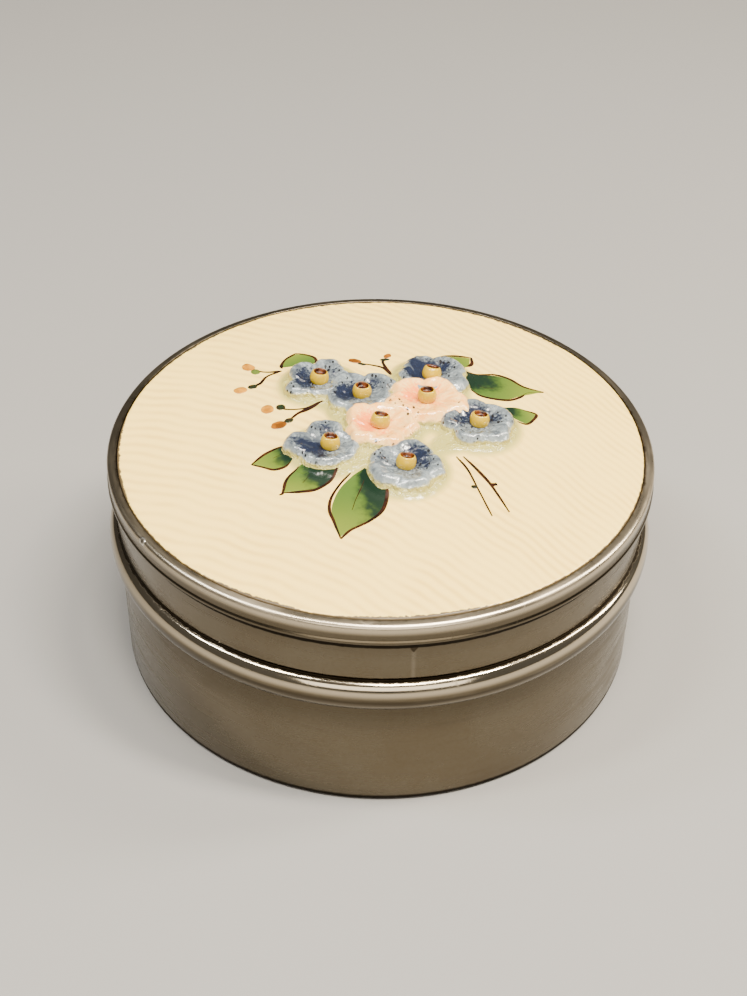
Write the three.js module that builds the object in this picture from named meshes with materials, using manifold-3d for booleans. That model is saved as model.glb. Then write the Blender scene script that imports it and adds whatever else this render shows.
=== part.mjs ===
// Round silver table box with a lift-off lid and a raised enamel posy on the lid.
// Millimetres, +Z up. The origin is the centre of the box's underside.

import * as THREE from 'three';
import { mergeVertices } from 'three/addons/utils/BufferGeometryUtils.js';
import Module from 'manifold-3d';

// Driving dimensions of the drum
const drumRadius = 38.8;
const drumHeight = 23.5;
const wallThickness = 0.8;
const bottomThickness = 0.9;
const footFillet = 0.5;
const mouthFillet = 0.25;

// Driving dimensions of the collar inside the mouth
const collarThickness = 0.7;
const collarRise = 3.6;
const collarDepth = 8.5;
const collarClearance = 0.15;

// Driving dimensions of the moulding round the mouth
const mouldingHeight = 4.7;
const mouldingProud = 1.35;
const mouldingDrop = 0.35;

// Driving dimensions of the lid
const seamGap = 0.1;
const bandHeight = 6.9;
const rimHeight = 3.1;
const rimOverhang = 0.85;
const rimSlope = 0.12;
const rimFillet = 1.0;
const rimLowerFillet = 0.2;
const rimUndercut = 0.35;
const bandFillet = 0.35;
const lidPlateThickness = 0.8;

// Driving dimensions of the enamel plate
const enamelRadius = 38.0;
const enamelThickness = 0.9;
const enamelRise = 1.8;
const enamelProud = 0.05;
const enamelFillet = 0.3;
const enamelClearance = 0.05;

// Driving dimensions of one flower
const flowerRadius = 5.3;
const petalHeight = 1.9;
const flowerFloor = 0.6;
const flowerFloorRadius = 1.75;
const petalCount = 5;
const petalNotch = 0.24;
const petalCrease = 0.45;
const flowerRoot = 0.6;
const flowerClearance = 0.06;

// Driving dimensions of the bead in a flower
const beadRadius = 1.5;
const beadHeight = 1.9;
const beadHollow = 0.5;
const beadClearance = 0.05;

// Number of straight sides that stand for a full circle
const roundSides = 56;
const stepsPerPetal = 5;
const beadSides = 10;
const filletSteps = 2;
const mouldingSteps = 7;
const domeSteps = 3;

// Heights and radii that follow from the driving dimensions
const lidInnerRadius = drumRadius - wallThickness;
const collarRadius = lidInnerRadius - collarClearance;
const bandBottom = drumHeight + seamGap;
const rimBottom = bandBottom + bandHeight;
const rimTop = rimBottom + rimHeight;
const rimRadius = drumRadius + rimOverhang;
const enamelEdgeTop = rimTop + enamelProud;

const finishes = {
  silver: { color: 0xc9c1b2, roughness: 0.22, metalness: 1.0 },
  cream: { color: 0xf3e2bd, roughness: 0.12, metalness: 0.0 },
  blue: { color: 0x7d8fae, roughness: 0.15, metalness: 0.0 },
  pink: { color: 0xf2d6c4, roughness: 0.15, metalness: 0.0 },
  yellow: { color: 0xeec53a, roughness: 0.15, metalness: 0.0 },
};

// The flowers, from the one on top to the one lowest in the posy.
// Places are from the box's axis in flower radii, and the turn is that of the first petal in degrees.
const flowers = [
  { name: 'pink_1', place: [1.25, 1.15], turn: 55, size: 1.06, lift: 0.55 },
  { name: 'pink_2', place: [-0.04, -0.09], turn: 70, size: 1.08, lift: 0.45 },
  { name: 'blue_1', place: [2.66, 0.16], turn: 28, size: 0.98, lift: 0.2 },
  { name: 'blue_2', place: [-0.55, 1.4], turn: 50, size: 0.98, lift: 0.15 },
  { name: 'blue_3', place: [0.66, -1.81], turn: 70, size: 1.0, lift: 0.15 },
  { name: 'blue_4', place: [-1.77, 2.13], turn: 68, size: 0.94, lift: 0.0 },
  { name: 'blue_5', place: [-1.36, -1.0], turn: 30, size: 1.0, lift: 0.1 },
  { name: 'blue_6', place: [1.41, 2.43], turn: 45, size: 1.02, lift: 0.0 },
];

const wasm = await Module();
wasm.setup();

// Rounds the corners of an outline given as [radius, height, fillet] in the plane of a turned profile.
function roundedProfile(corners) {
  const points = [];
  corners.forEach(([x, y, fillet = 0], index) => {
    const corner = new THREE.Vector2(x, y);
    if (fillet === 0) {
      points.push(corner);
      return;
    }
    const before = corners[(index + corners.length - 1) % corners.length];
    const after = corners[(index + 1) % corners.length];
    const inward = new THREE.Vector2(before[0], before[1]).sub(corner);
    const onward = new THREE.Vector2(after[0], after[1]).sub(corner);
    const shortSide = Math.min(inward.length(), onward.length());
    inward.normalize();
    onward.normalize();
    const halfAngle = Math.acos(THREE.MathUtils.clamp(inward.dot(onward), -1, 1)) / 2;
    const run = Math.min(fillet / Math.tan(halfAngle), shortSide * 0.49);
    const start = corner.clone().addScaledVector(inward, run);
    const end = corner.clone().addScaledVector(onward, run);
    const bend = new THREE.QuadraticBezierCurve(start, corner, end);
    points.push(...bend.getPoints(filletSteps));
  });
  return points;
}

// Turns a profile of radius and height about the Z axis.
function turned(points, sides = roundSides) {
  const geometry = new THREE.LatheGeometry(points, sides);
  geometry.rotateX(Math.PI / 2);
  return geometry;
}

function toManifold(geometry) {
  const bare = geometry.clone();
  bare.deleteAttribute('normal');
  bare.deleteAttribute('uv');
  const merged = mergeVertices(bare, 1e-5);
  const corners = Array.from(merged.index.array);
  const kept = [];
  for (let i = 0; i < corners.length; i += 3) {
    const [a, b, c] = corners.slice(i, i + 3);
    if (a !== b && b !== c && c !== a) kept.push(a, b, c);
  }
  const mesh = new wasm.Mesh({
    numProp: 3,
    vertProperties: new Float32Array(merged.attributes.position.array),
    triVerts: new Uint32Array(kept),
  });
  mesh.merge();
  return new wasm.Manifold(mesh);
}

function toGeometry(manifold) {
  const mesh = manifold.getMesh();
  const geometry = new THREE.BufferGeometry();
  geometry.setAttribute('position', new THREE.BufferAttribute(new Float32Array(mesh.vertProperties), 3));
  geometry.setIndex(new THREE.BufferAttribute(new Uint32Array(mesh.triVerts), 1));
  geometry.computeVertexNormals();
  return geometry;
}

function named(name, geometry, finish) {
  const mesh = new THREE.Mesh(geometry, new THREE.MeshStandardMaterial(finish));
  mesh.name = name;
  return mesh;
}

// Height of the domed top above its own edge, at a distance from the axis.
function domeHeight(radius) {
  const sphere = (enamelRadius ** 2 + enamelRise ** 2) / (2 * enamelRise);
  return Math.sqrt(sphere ** 2 - Math.min(radius, enamelRadius) ** 2) - (sphere - enamelRise);
}

function domeRadii() {
  return Array.from({ length: domeSteps + 1 }, (_, i) => (enamelRadius * i) / domeSteps);
}

// Points of a domed face at a base height, from the axis outwards.
function domeFace(baseHeight, radii = domeRadii()) {
  return radii.map((radius) => [radius, baseHeight + domeHeight(radius)]);
}

function drum() {
  const collarBottom = drumHeight - collarDepth;
  const collarInner = collarRadius - collarThickness;
  const step = lidInnerRadius - collarInner;
  return turned(roundedProfile([
    [0, 0],
    [drumRadius, 0, footFillet],
    [drumRadius, drumHeight, mouthFillet],
    [collarRadius, drumHeight],
    [collarRadius, drumHeight + collarRise, collarThickness / 3],
    [collarInner, drumHeight + collarRise, collarThickness / 3],
    [collarInner, collarBottom],
    [lidInnerRadius, collarBottom - step],
    [lidInnerRadius, bottomThickness, footFillet],
    [0, bottomThickness],
  ]));
}

// A flattened half-round wire, with its flat side against the drum.
function moulding() {
  const halfHeight = mouldingHeight / 2;
  const centre = drumHeight - mouldingDrop - halfHeight;
  const points = [];
  for (let i = 0; i <= mouldingSteps; i += 1) {
    const angle = (Math.PI * i) / mouldingSteps - Math.PI / 2;
    const radius = drumRadius + mouldingProud * Math.cos(angle);
    points.push(new THREE.Vector2(i % mouldingSteps ? radius : drumRadius, centre + halfHeight * Math.sin(angle)));
  }
  points.push(points[0].clone());
  return turned(points);
}

function lid() {
  const bedHeight = enamelEdgeTop - enamelThickness;
  const underHeight = bedHeight - lidPlateThickness;
  const recessRadius = enamelRadius + enamelClearance;
  const underFace = domeFace(underHeight, domeRadii().map((r) => (r * lidInnerRadius) / enamelRadius));
  return turned(roundedProfile([
    ...underFace,
    [lidInnerRadius, bandBottom, bandFillet / 2],
    [drumRadius, bandBottom, bandFillet],
    [drumRadius, rimBottom + rimUndercut],
    [rimRadius - rimLowerFillet, rimBottom],
    [rimRadius, rimBottom, rimLowerFillet],
    [rimRadius, rimTop - rimSlope, rimFillet],
    [recessRadius, rimTop],
    [recessRadius, bedHeight],
    ...domeFace(bedHeight).reverse(),
  ]));
}

function enamelSolid(raise = 0) {
  const bedHeight = enamelEdgeTop - enamelThickness;
  const topFace = domeFace(enamelEdgeTop + raise).reverse();
  const edge = topFace.shift();
  return turned(roundedProfile([
    ...domeFace(bedHeight),
    [edge[0], edge[1], enamelFillet],
    ...topFace,
  ]));
}

// How far a petal reaches in a direction, as a share of the flower's radius.
function petalReach(angle) {
  const lobe = Math.abs(Math.cos((petalCount * angle) / 2));
  return 1 - petalNotch * (1 - lobe ** 0.7);
}

// Moves a shape from the axis to a flower's place, at the height of the enamel there.
function placed(geometry, [across, along], height = 0) {
  const x = across * flowerRadius;
  const y = along * flowerRadius;
  return geometry.translate(x, y, enamelEdgeTop + domeHeight(Math.hypot(x, y)) + height);
}

// A turned saucer whose edge is drawn into petals, with a crease between each two.
// Grown and raised, it is the room that the flower takes from those under it.
function flowerGeometry({ place, turn, size, lift }, grow = 0, raise = 0) {
  const radius = flowerRadius * size + grow;
  const crest = petalHeight + lift + raise;
  const floor = flowerFloor + lift + raise;
  const profile = [
    [0, -flowerRoot],
    [radius, -flowerRoot],
    [radius, floor],
    [radius * 0.88, crest],
    [(radius + flowerFloorRadius) / 2, (crest + floor) / 2],
    [flowerFloorRadius - grow, floor],
    [0, floor],
  ];
  const geometry = turned(profile.map(([r, z]) => new THREE.Vector2(r, z)), petalCount * stepsPerPetal);
  const firstPetal = THREE.MathUtils.degToRad(turn);
  const position = geometry.attributes.position;
  const point = new THREE.Vector3();
  for (let i = 0; i < position.count; i += 1) {
    point.fromBufferAttribute(position, i);
    const out = Math.hypot(point.x, point.y);
    const angle = Math.atan2(point.y, point.x) - firstPetal;
    const share = THREE.MathUtils.smoothstep(out, flowerFloorRadius, radius);
    const reach = THREE.MathUtils.lerp(1, petalReach(angle), share);
    const between = 1 - Math.abs(Math.cos((petalCount * angle) / 2));
    const sink = point.z > floor ? petalCrease * between * (point.z - floor) : 0;
    position.setXYZ(i, point.x * reach, point.y * reach, point.z - sink);
  }
  return placed(geometry, place);
}

function beadGeometry({ place, lift }) {
  const shape = [
    [0, 0],
    [0.62, 0],
    [1, 0.42],
    [0.85, 0.85],
    [0.5, 1],
    [0, 1 - beadHollow / beadHeight],
  ];
  const points = shape.map(([r, z]) => new THREE.Vector2(r * beadRadius, z * beadHeight));
  return placed(turned(points, beadSides), place, flowerFloor + lift + beadClearance);
}

// Each flower is cut clear of the enamel under it and of the flowers that lie over it.
function posy() {
  const meshes = [];
  let above = toManifold(enamelSolid(flowerClearance));
  for (const flower of flowers) {
    const solid = toManifold(flowerGeometry(flower)).subtract(above);
    const petalFinish = flower.name.startsWith('pink') ? finishes.pink : finishes.blue;
    meshes.push(named(`flower_${flower.name}`, toGeometry(solid), petalFinish));
    meshes.push(named(`centre_${flower.name}`, beadGeometry(flower), finishes.yellow));
    above = above.add(toManifold(flowerGeometry(flower, flowerClearance, petalHeight)));
  }
  return meshes;
}

const box = new THREE.Group();
box.add(named('box_base', drum(), finishes.silver));
box.add(named('mouth_moulding', moulding(), finishes.silver));
box.add(named('lid', lid(), finishes.silver));
box.add(named('enamel_top', enamelSolid(), finishes.cream));
box.add(...posy());

export default box;
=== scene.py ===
import math
import random

import bmesh
import bpy
from bpy.props import FloatProperty, FloatVectorProperty, IntProperty, PointerProperty
from mathutils import Matrix, Vector, noise


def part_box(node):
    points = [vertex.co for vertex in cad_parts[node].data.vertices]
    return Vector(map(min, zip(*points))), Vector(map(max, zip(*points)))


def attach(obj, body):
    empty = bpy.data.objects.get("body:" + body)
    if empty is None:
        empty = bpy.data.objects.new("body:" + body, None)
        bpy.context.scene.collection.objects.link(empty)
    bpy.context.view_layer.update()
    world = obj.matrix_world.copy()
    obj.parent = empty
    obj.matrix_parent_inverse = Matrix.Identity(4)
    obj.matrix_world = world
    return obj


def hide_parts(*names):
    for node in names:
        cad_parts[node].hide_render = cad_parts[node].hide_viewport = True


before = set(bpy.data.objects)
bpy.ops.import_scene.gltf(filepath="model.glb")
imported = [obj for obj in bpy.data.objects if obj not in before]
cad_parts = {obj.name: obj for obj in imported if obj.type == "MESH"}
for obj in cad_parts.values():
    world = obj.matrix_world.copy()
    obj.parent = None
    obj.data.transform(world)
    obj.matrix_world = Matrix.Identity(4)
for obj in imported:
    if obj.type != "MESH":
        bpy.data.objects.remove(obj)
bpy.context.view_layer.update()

bl_info = {
    "name": "Enamelled silver table box",
    "version": (1, 0, 0),
    "blender": (4, 5, 0),
    "location": "View3D > Sidebar > Table Box",
    "description": "Round silver box with a lift-off lid and a raised enamel posy",
    "category": "Add Mesh",
}

MM = 0.001
NO_EDGE = 180

# Sizes read from the frame
DRUM_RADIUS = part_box("box_base")[1][0]
COLLAR_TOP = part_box("box_base")[1][2]
MOULDING_LOW, MOULDING_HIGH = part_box("mouth_moulding")
LID_LOW, LID_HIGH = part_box("lid")
RIM_RADIUS = LID_HIGH[0]
ENAMEL_LOW, ENAMEL_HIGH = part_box("enamel_top")
ENAMEL_RADIUS = ENAMEL_HIGH[0]

# Sizes that the frame doesn't give
SEAM_GAP = 0.1 * MM
COLLAR_CLEARANCE = 0.15 * MM
COLLAR_WALL = 0.7 * MM
COLLAR_DEPTH = 8.5 * MM
BAND_HEIGHT = 6.9 * MM
RIM_HEIGHT = 3.1 * MM
LID_PLATE = 0.8 * MM
ENAMEL_GAP = 0.05 * MM
DOME_RINGS = 12

# The small dent in the rim's shoulder, at the left
NICK = Vector((-0.809, -0.588, 0)) * (RIM_RADIUS - 0.35 * MM)
NICK.z = LID_LOW[2] + 9.5 * MM

# The flowers: name, turn of the first petal in degrees, size, lift off the enamel, and each petal's length
FLOWERS = {
    "pink_1": (55, 1.10, 0.5, (1.08, 1.12, 1.15, 1.0, 1.15)),
    "pink_2": (70, 1.08, 0.45, (0.95, 1.05, 1.0, 0.95, 1.05)),
    "blue_1": (28, 1.0, 0.2, (1.05, 1.1, 1.05, 1.0, 1.0)),
    "blue_2": (50, 1.0, 0.15, (1.2, 1.2, 1.05, 1.0, 0.85)),
    "blue_3": (70, 1.02, 0.15, (1.1, 1.05, 1.05, 1.0, 1.1)),
    "blue_4": (68, 0.97, 0.0, (1.15, 1.1, 1.1, 0.9, 0.95)),
    "blue_5": (30, 1.0, 0.1, (0.75, 1.15, 1.3, 1.0, 0.8)),
    "blue_6": (45, 1.03, 0.0, (1.12, 1.1, 0.95, 0.95, 1.08)),
}
FLOWER_RADIUS = 5.3 * MM
HEART_RADIUS = 2.4 * MM
HEART_HEIGHT = 0.72 * MM

# How far a flower's mesh runs past its petals, how deep it is sunk in the enamel, and its reach out there
SKIRT = 0.9 * MM
SUNK = 0.5 * MM
OFF_PETAL = 1.2

# Each flower's bead in the frame, and the place on the enamel under it
BEADS = {name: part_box("centre_" + name) for name in FLOWERS}
PLACES = {name: (Vector(low) + Vector(high)).xy / 2 for name, (low, high) in BEADS.items()}

# Dark dabs fired into the petals: direction in degrees, distance from the bead, size in millimetres, strength
DABS = {
    "pink_1": ((175, 2.6, 1.5, 0.9), (120, 2.8, 1.2, 0.7), (60, 2.6, 1.0, 0.6), (-40, 2.2, 1.0, 0.4)),
    "pink_2": ((180, 2.4, 1.5, 1.0), (225, 2.4, 1.2, 0.7), (130, 2.8, 1.2, 0.5), (-70, 2.2, 1.0, 0.4)),
    "blue_1": ((95, 2.6, 1.5, 1.1), (190, 3.6, 1.3, 0.7), (20, 2.8, 1.0, 0.7), (150, 2.4, 1.4, 0.6)),
    "blue_2": ((175, 2.6, 1.5, 1.3), (205, 3.2, 1.2, 0.9), (55, 3.2, 1.3, 0.7), (120, 2.4, 1.0, 0.7)),
    "blue_3": ((45, 2.8, 1.6, 1.1), (80, 3.2, 1.2, 0.8), (170, 3.4, 1.2, 0.5), (0, 3.0, 0.9, 0.5)),
    "blue_4": ((180, 2.8, 1.5, 1.2), (235, 3.2, 1.3, 0.8), (40, 3.0, 1.0, 0.5), (140, 3.2, 1.0, 0.5)),
    "blue_5": ((200, 2.8, 1.5, 1.5), (175, 4.6, 1.6, 0.8), (250, 3.2, 1.1, 0.9), (105, 3.6, 1.2, 0.8)),
    "blue_6": ((140, 3.4, 1.8, 1.7), (165, 2.4, 1.4, 1.3), (50, 3.0, 1.4, 0.9), (100, 2.4, 1.2, 1.0)),
}

# Where black specks lie: direction in degrees, distance from the bead and size in millimetres
SPECKS = {
    "pink_1": ((205, 4.8, 1.3), (240, 4.6, 1.2), (-20, 4.6, 0.6)),
    "pink_2": ((15, 5.0, 1.2), (-70, 4.6, 0.8), (-20, 4.4, 0.7), (-95, 4.8, 0.8)),
    "blue_1": ((190, 3.6, 2.2), (20, 3.4, 1.9), (250, 3.4, 1.6)),
    "blue_2": ((50, 3.6, 2.3), (175, 3.6, 2.2), (280, 3.4, 1.4)),
    "blue_3": ((20, 3.4, 2.2), (-20, 3.8, 1.6), (165, 3.8, 1.4)),
    "blue_4": ((200, 3.6, 2.4), (45, 3.6, 2.0), (240, 3.4, 2.2), (0, 3.6, 1.6)),
    "blue_5": ((110, 3.8, 1.9), (230, 3.4, 1.9)),
    "blue_6": ((30, 3.4, 2.2), (60, 3.4, 2.0), (200, 3.6, 1.2)),
}

# How each bead leans: degrees off upright, and the direction that its hollow faces
BEAD_LEANS = {
    "pink_1": (3, 90),
    "pink_2": (17, 60),
    "blue_1": (12, 40),
    "blue_2": (2, 45),
    "blue_3": (14, 60),
    "blue_4": (8, 30),
    "blue_5": (10, 60),
    "blue_6": (22, 70),
}

# Clear glaze that ran past the flowers: centre and radius of each pool in millimetres
POOLS = (
    (-4.6, -7.0, 3.4),
    (4.6, -12.6, 3.6),
    (9.2, -3.6, 3.2),
    (-12.4, 8.6, 2.2),
    (15.6, -2.2, 3.0),
    (-6.0, 3.4, 2.4),
    (-0.2, -9.6, 2.4),
    (-8.3, -9.0, 2.0),
)

POOL_COLOUR = (0.42, 0.37, 0.10, 1.0)

# Painted leaves: the two edges from base to tip in millimetres from the box's axis, then the share that is
# dark and how far the dark leans to the second edge
LEAVES = {
    "leaf_1": (
        ((-10.8, 17.0), (-13.1, 16.9), (-15.2, 16.6), (-15.0, 18.4), (-13.3, 20.4)),
        ((-10.8, 17.0), (-10.2, 17.9), (-10.7, 19.3), (-12.0, 20.1), (-13.3, 20.4)),
        (0.16, 0.0),
    ),
    "leaf_2": (
        ((-13.2, -4.0), (-14.4, -4.3), (-16.3, -5.9), (-18.0, -8.1)),
        ((-13.2, -4.0), (-12.3, -6.3), (-12.9, -8.3), (-15.0, -9.2), (-18.0, -8.1)),
        (0.62, 0.1),
    ),
    "leaf_3": (
        ((-9.4, -7.9), (-11.7, -9.4), (-13.0, -11.8), (-13.3, -14.4)),
        ((-9.4, -7.9), (-6.5, -9.3), (-7.0, -11.8), (-9.0, -13.5), (-13.3, -14.4)),
        (0.62, 0.3),
    ),
    "leaf_4": (
        ((-2.3, -9.6), (-4.0, -11.0), (-5.7, -13.8), (-6.6, -17.4), (-6.2, -19.9), (-5.2, -23.3)),
        ((-2.3, -9.6), (-0.2, -11.4), (0.8, -13.9), (0.5, -16.8), (-1.0, -19.5), (-3.9, -21.8),
         (-5.2, -23.3)),
        (0.50, 0.36),
    ),
    "leaf_5": (
        ((12.7, 15.7), (14.6, 15.3), (17.3, 15.3), (19.4, 14.4), (21.5, 12.5), (24.2, 11.5)),
        ((12.7, 15.7), (13.0, 11.6), (15.3, 9.5), (18.6, 9.0), (20.6, 9.9), (24.2, 11.5)),
        (0.50, -0.08),
    ),
    "leaf_6": (
        ((17.6, 6.6), (19.6, 6.9), (21.2, 6.4), (22.7, 5.4)),
        ((17.6, 6.6), (18.4, 4.6), (19.8, 3.6), (21.3, 3.0), (22.2, 4.0), (22.7, 5.4)),
        (0.50, -0.1),
    ),
    "leaf_7": (
        ((7.0, 18.6), (9.6, 20.1), (11.6, 20.3), (13.6, 20.1)),
        ((7.0, 18.6), (9.0, 17.4), (11.6, 17.2), (13.2, 17.6), (13.6, 20.1)),
        (0.3, 0.1),
    ),
}

# Painted lines: width and points in millimetres, and how much wider the brush lays each
BRUSH_SPREAD = 1.55
PAINT_DEPTH = 0.15 * MM
LINES = (
    (0.30, ((-15.3, 16.2), (-15.4, 17.2), (-14.8, 19.0), (-13.4, 20.6))),
    (0.26, ((-13.4, 20.6), (-12.0, 20.3), (-10.6, 19.5), (-10.1, 18.4), (-10.4, 17.6))),
    (0.26, ((-13.4, -3.9), (-14.6, -4.4), (-16.5, -5.9), (-18.2, -8.2))),
    (0.26, ((-18.2, -8.2), (-16.6, -8.8), (-15.0, -9.4), (-13.6, -8.9), (-12.7, -8.0))),
    (0.26, ((-11.5, -9.2), (-12.6, -10.6), (-13.2, -12.2), (-13.4, -14.4), (-13.9, -14.9))),
    (0.30, ((-13.4, -14.4), (-10.8, -14.2), (-8.8, -13.7), (-6.9, -11.9), (-6.2, -10.2), (-6.3, -9.2))),
    (0.26, ((-4.2, -10.5), (-5.5, -12.4), (-6.7, -15.4), (-6.9, -18.0), (-6.2, -20.4), (-5.2, -23.7))),
    (0.30, ((0.9, -13.6), (0.9, -15.5), (0.2, -18.2), (-1.6, -20.3), (-3.9, -22.0), (-5.2, -23.7))),
    (0.40, ((-2.3, -12.0), (-2.9, -14.2), (-3.4, -16.0), (-3.8, -18.0))),
    (0.26, ((12.7, 15.8), (14.6, 15.4), (17.3, 15.6), (19.4, 14.6), (21.5, 12.6), (24.4, 11.5))),
    (0.28, ((13.4, 10.8), (15.3, 9.3), (18.6, 8.7), (20.6, 9.6), (21.9, 11.0), (24.4, 11.5))),
    (0.24, ((14.4, 12.4), (15.4, 11.8), (17.1, 11.7))),
    (0.28, ((20.9, 6.4), (22.8, 5.4), (22.3, 4.0), (21.3, 2.8), (19.9, 3.1))),
    (0.26, ((7.8, 19.3), (9.6, 20.4), (11.6, 20.6), (13.8, 20.3))),
    (0.36, ((13.8, 20.3), (13.8, 18.4), (13.0, 17.6))),
    (0.22, ((-10.8, -12.4), (-10.3, -11.5), (-9.9, -10.9))),
    (0.20, ((-15.3, -6.9), (-14.4, -6.2), (-13.6, -5.6))),
    (0.24, ((-19.3, 15.6), (-17.4, 15.2), (-15.3, 15.5))),
    (0.30, ((-19.4, 11.2), (-18.3, 12.1), (-17.4, 14.0), (-15.3, 15.5))),
    (0.22, ((-14.9, 5.4), (-13.7, 5.0), (-11.0, 5.2), (-8.7, 6.3))),
    (0.36, ((-13.3, 2.4), (-12.2, 4.0), (-10.9, 4.9), (-8.7, 6.3))),
    (0.26, ((-3.0, 17.6), (-1.5, 17.2), (0.2, 16.4), (1.3, 14.4))),
    (0.34, ((0.4, 18.8), (0.1, 18.2), (0.6, 16.4), (1.4, 14.2))),
    (0.20, ((10.7, -5.9), (12.2, -8.7), (13.6, -13.2), (15.2, -18.4))),
    (0.28, ((11.7, -5.8), (13.7, -8.9), (15.4, -12.0), (17.6, -17.4))),
    (0.42, ((15.3, -11.9), (15.9, -11.7), (16.2, -11.6))),
)

# Painted buds: centre, half length, half width, direction in degrees, and how deep the orange is
BUDS = (
    ((-20.5, 16.7), 1.15, 0.95, 130, 0.2),
    ((-21.2, 10.3), 1.05, 0.85, 190, 0.15),
    ((-16.8, 5.1), 0.95, 1.15, 180, 0.2),
    ((-14.9, 1.1), 1.2, 0.95, 210, 1.0),
    ((-4.2, 18.4), 1.05, 0.6, 160, 0.6),
    ((0.8, 20.0), 0.75, 0.55, 60, 0.7),
)
CALYXES = (
    ((-19.3, 15.4), 0.8, 0.7, 130, 0.35),
    ((-19.4, 11.2), 0.75, 0.6, 200, 0.8),
    ((-14.9, 5.6), 0.7, 0.75, 180, 0.7),
    ((-13.5, 2.2), 0.75, 0.6, 220, 0.8),
    ((-3.1, 17.5), 0.7, 0.35, 160, 1.0),
    ((0.4, 18.9), 0.8, 0.35, 10, 1.0),
    ((13.0, -12.4), 0.48, 0.42, 0, 1.0),
)


# Softboxes: name, place and size in metres, power in watts, colour
LIGHTS = (
    ("key", (0.200, -0.070, 0.585), (0.07, 0.19), 6.6, (1.0, 0.91, 0.78)),
    ("overhead", (0.035, -0.135, 0.60), (0.12, 0.28), 4.8, (1.0, 0.92, 0.80)),
    ("inner left", (-0.22, -0.087, 0.57), (0.07, 0.19), 2.6, (1.0, 0.94, 0.84)),
    ("outer left", (-0.35, -0.01, 0.51), (0.08, 0.16), 1.7, (0.95, 0.97, 1.0)),
    ("right", (0.43, 0.09, 0.40), (0.09, 0.42), 4.2, (1.0, 0.90, 0.74)),
    ("front", (0.03, -0.55, 0.30), (0.66, 0.32), 2.2, (1.0, 0.92, 0.80)),
)


class TableBoxSettings(bpy.types.PropertyGroup):
    """Sizes and colours of the box that a user may change."""

    wall: FloatProperty(name="Wall", description="Thickness of the silver sheet", default=0.8 * MM,
                        unit="LENGTH")
    bottom: FloatProperty(name="Bottom", description="Thickness of the drum's bottom", default=0.9 * MM,
                          unit="LENGTH")
    enamel_rise: FloatProperty(name="Enamel rise", description="How far the enamel domes above its edge",
                               default=1.8 * MM, unit="LENGTH")
    petal_height: FloatProperty(name="Petal height", description="Height of a petal's crest over the enamel",
                                default=1.9 * MM, unit="LENGTH")
    glaze_height: FloatProperty(name="Glaze height", description="Depth of the clear glaze round the flowers",
                                default=0.6 * MM, unit="LENGTH")
    wave_pitch: FloatProperty(name="Wave pitch", description="Distance between two engine-turned waves",
                              default=2.05 * MM, unit="LENGTH")
    turn_steps: IntProperty(name="Turned steps", description="Sides of each turned silver piece", default=256,
                            min=16)
    silver: FloatVectorProperty(name="Silver", description="Colour of the silver", subtype="COLOR",
                                default=(0.150, 0.126, 0.088))
    cream: FloatVectorProperty(name="Cream", description="Colour of the enamel ground", subtype="COLOR",
                               default=(0.95, 0.67, 0.17))
    blue: FloatVectorProperty(name="Blue", description="Colour of the blue petals", subtype="COLOR",
                              default=(0.072, 0.086, 0.100))
    pink: FloatVectorProperty(name="Pink", description="Colour of the pink petals", subtype="COLOR",
                              default=(0.96, 0.41, 0.085))
    yellow: FloatVectorProperty(name="Yellow", description="Colour of the flowers' beads", subtype="COLOR",
                                default=(0.46, 0.298, 0.001))
    leaf: FloatVectorProperty(name="Leaf", description="Light green of the painted leaves", subtype="COLOR",
                              default=(0.055, 0.105, 0.014))
    floor: FloatVectorProperty(name="Floor", description="Colour of the floor", subtype="COLOR",
                               default=(0.24, 0.235, 0.225))


def settings():
    return bpy.context.scene.table_box


# Forms


def rounded(corners, steps=8):
    """Points of an outline of (radius, height, fillet), with each fillet as an arc."""
    points = []
    for index, (radius, height, fillet) in enumerate(corners):
        corner = Vector((radius, height))
        if not fillet:
            points.append(corner)
            continue
        inward = Vector(corners[index - 1][:2]) - corner
        onward = Vector(corners[(index + 1) % len(corners)][:2]) - corner
        half_angle = inward.angle(onward) / 2
        run = min(fillet / math.tan(half_angle), 0.49 * min(inward.length, onward.length))
        bisector = (inward.normalized() + onward.normalized()).normalized()
        centre = corner + bisector * run / math.cos(half_angle)
        start = corner + inward.normalized() * run - centre
        end = corner + onward.normalized() * run - centre
        first = math.atan2(start.y, start.x)
        sweep = (math.atan2(end.y, end.x) - first + math.pi) % (2 * math.pi) - math.pi
        for step in range(steps + 1):
            angle = first + sweep * step / steps
            points.append(centre + start.length * Vector((math.cos(angle), math.sin(angle))))
    return points


def spun(profile, steps, closed=False):
    """Turns an outline of (radius, height) points about the Z axis."""
    bm = bmesh.new()
    points = [bm.verts.new((point[0], 0, point[1])) for point in profile]
    edges = [bm.edges.new(pair) for pair in zip(points, points[1:])]
    if closed:
        edges.append(bm.edges.new((points[-1], points[0])))
    bmesh.ops.spin(bm, geom=points + edges, cent=(0, 0, 0), axis=(0, 0, 1), angle=2 * math.pi,
                   steps=steps, use_merge=True, use_duplicate=False)
    bmesh.ops.remove_doubles(bm, verts=bm.verts, dist=0.001 * MM)
    bmesh.ops.recalc_face_normals(bm, faces=bm.faces)
    return bm


def smooth_shaded(bm, sharp_degrees=35):
    """Smooth faces, with the edges that turn sharply kept crisp."""
    for face in bm.faces:
        face.smooth = True
    for edge in bm.edges:
        if len(edge.link_faces) == 2 and edge.calc_face_angle(0) > math.radians(sharp_degrees):
            edge.smooth = False


def dome(radius):
    """Height of the enamel's domed face above its own edge."""
    rise = settings().enamel_rise
    sphere = (ENAMEL_RADIUS ** 2 + rise ** 2) / (2 * rise)
    return math.sqrt(sphere ** 2 - min(radius, ENAMEL_RADIUS) ** 2) - (sphere - rise)


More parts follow.
